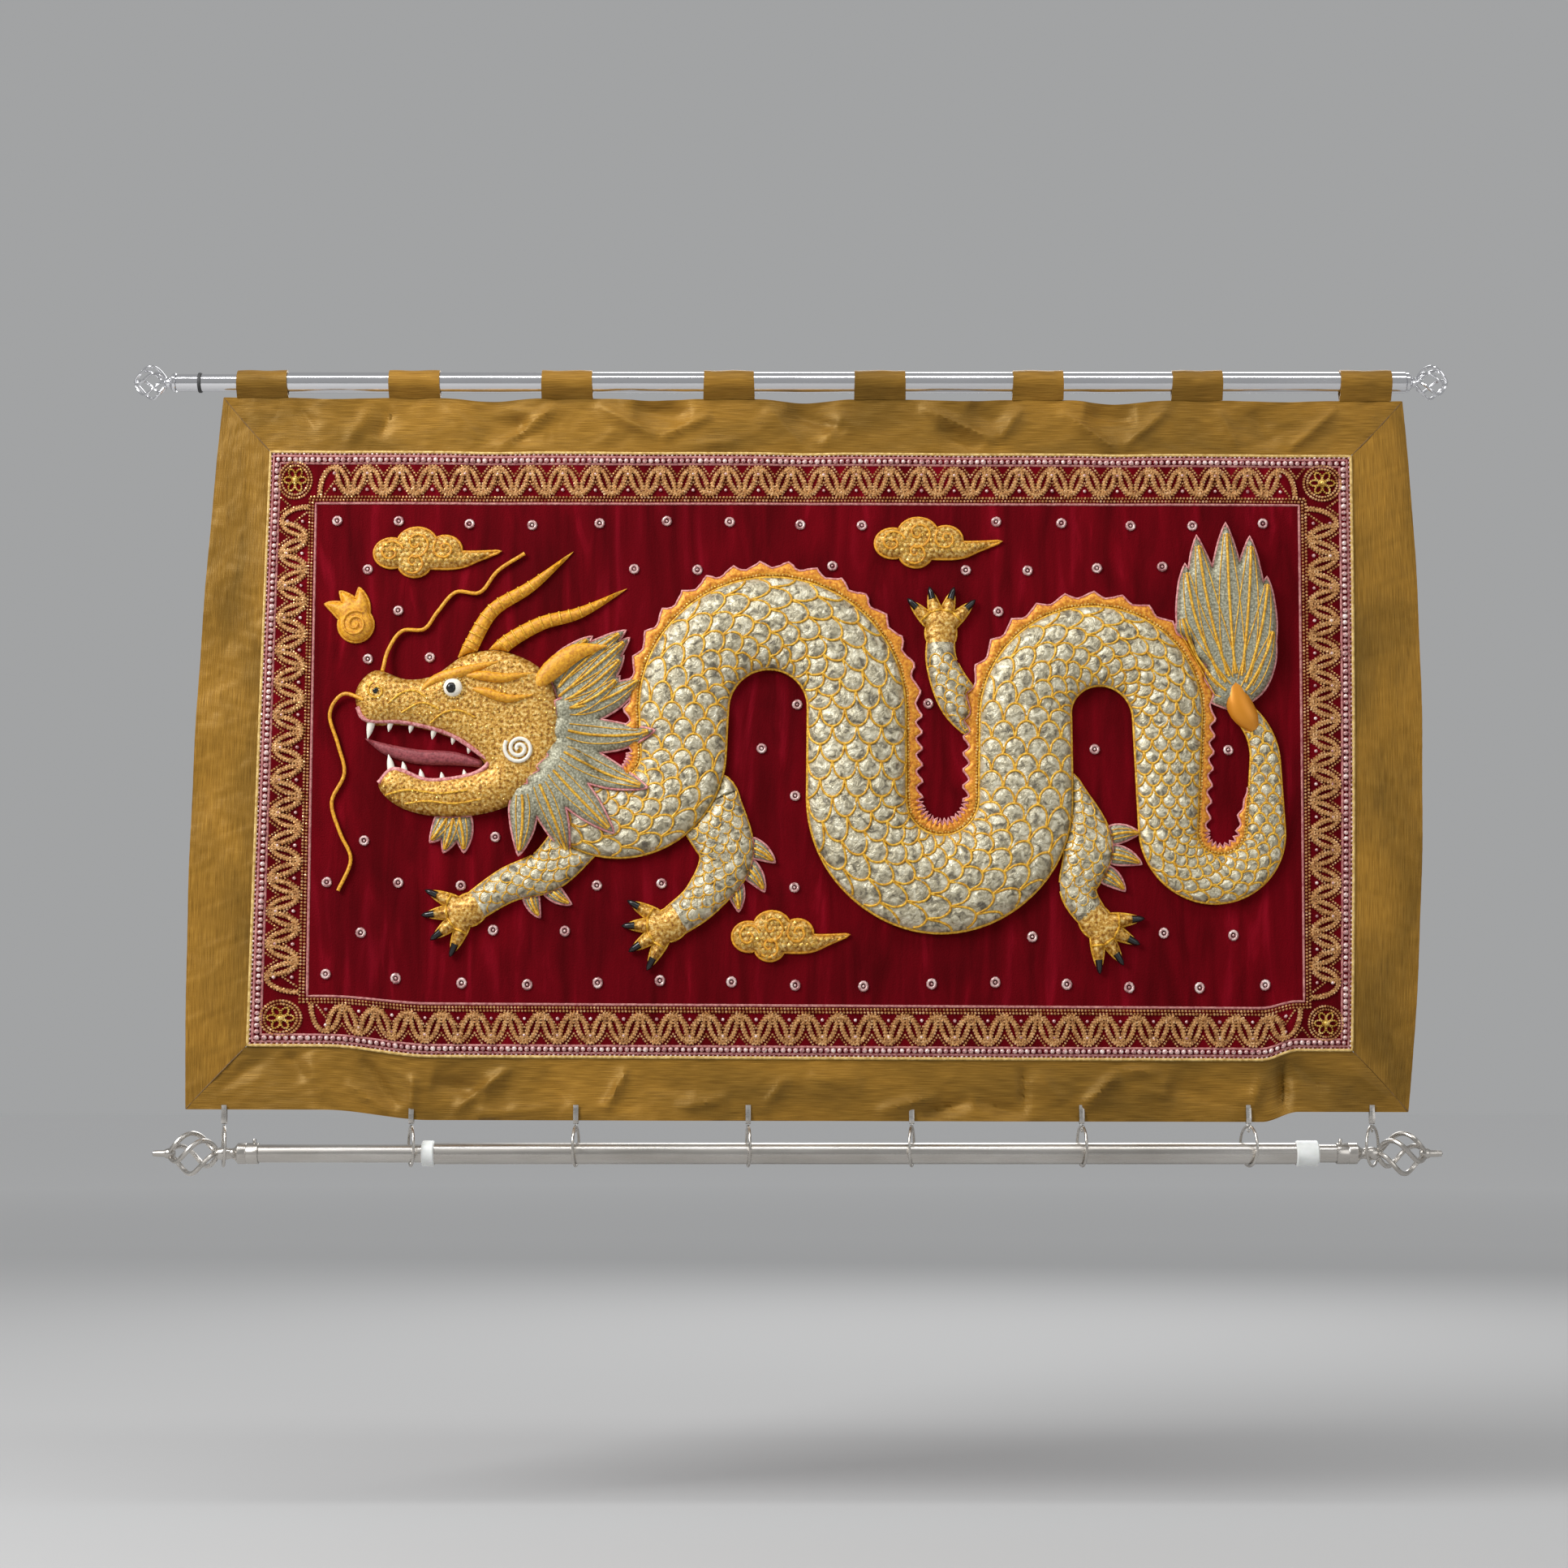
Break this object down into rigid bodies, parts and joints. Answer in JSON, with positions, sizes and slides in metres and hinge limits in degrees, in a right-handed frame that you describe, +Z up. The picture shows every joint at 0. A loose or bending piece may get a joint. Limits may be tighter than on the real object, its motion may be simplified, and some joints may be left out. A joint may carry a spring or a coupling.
{
  "type": "textile wall hanging with its hanging rod and weight rod",
  "caption": "Velvet wall hanging with a padded metallic applique beast, beaded border and silk surround, looped over a telescopic rod, its hem clipped to a weight rod.",
  "frame": {"origin": "on the upper rod's axis, over the middle of the cloth, where brackets on a wall hold the rod", "axes": "+X along the rods to the viewer's right, +Z up, and the front faces -Y"},
  "size_m": [1.199, 0.0422, 0.7333],
  "materials": {
    "velvet": "crimson cotton velvet, matt with a soft sheen",
    "silk": "ochre slub silk, low sheen",
    "chrome": "polished",
    "nickel": "satin nickel plate",
    "dark_rubber": "matt",
    "white_plastic": "satin",
    "silver_cloth": "padded metallic cloth",
    "gold_cloth": "couched gold thread and sequins",
    "silver_thread": "laid silver thread",
    "yellow_cord": "wrapped yellow silk"
  },
  "bodies": {
    "root": {"velvet_panel": "velvet", "silk_top": "silk", "silk_bottom": "silk", "silk_left": "silk", "silk_right": "silk", "tab_1": "silk", "tab_2": "silk", "tab_3": "silk", "tab_4": "silk", "tab_5": "silk", "tab_6": "silk", "tab_7": "silk", "tab_8": "silk", "upper_rod_outer": "chrome", "upper_rod_inner": "chrome", "upper_finial_left": "chrome", "upper_finial_right": "chrome", "stop_ring": "dark_rubber", "lower_rod_outer": "nickel", "lower_rod_left": "nickel", "lower_rod_right": "nickel", "lower_finial_left": "nickel", "lower_finial_right": "nickel", "joint_collar": "white_plastic", "joint_sleeve": "white_plastic", "ring_1": "nickel", "ring_2": "nickel", "ring_3": "nickel", "ring_4": "nickel", "ring_5": "nickel", "ring_6": "nickel", "ring_7": "nickel", "ring_8": "nickel", "clip_1": "nickel", "clip_2": "nickel", "clip_3": "nickel", "clip_4": "nickel", "clip_5": "nickel", "clip_6": "nickel", "clip_7": "nickel", "clip_8": "nickel", "beast_body": "silver_cloth", "beast_crest": "gold_cloth", "beast_head": "gold_cloth", "beast_horn_1": "yellow_cord", "beast_horn_2": "yellow_cord", "beast_mane": "silver_thread", "beast_beard": "silver_thread", "beast_plume": "silver_thread", "beast_leg_fore_far": "silver_cloth", "beast_leg_fore_near": "silver_cloth", "beast_leg_hind_far": "silver_cloth", "beast_leg_hind_near": "silver_cloth", "cloud_high_left": "gold_cloth", "cloud_high_middle": "gold_cloth", "cloud_low": "gold_cloth", "pearl": "yellow_cord"}
  },
  "joints": []
}
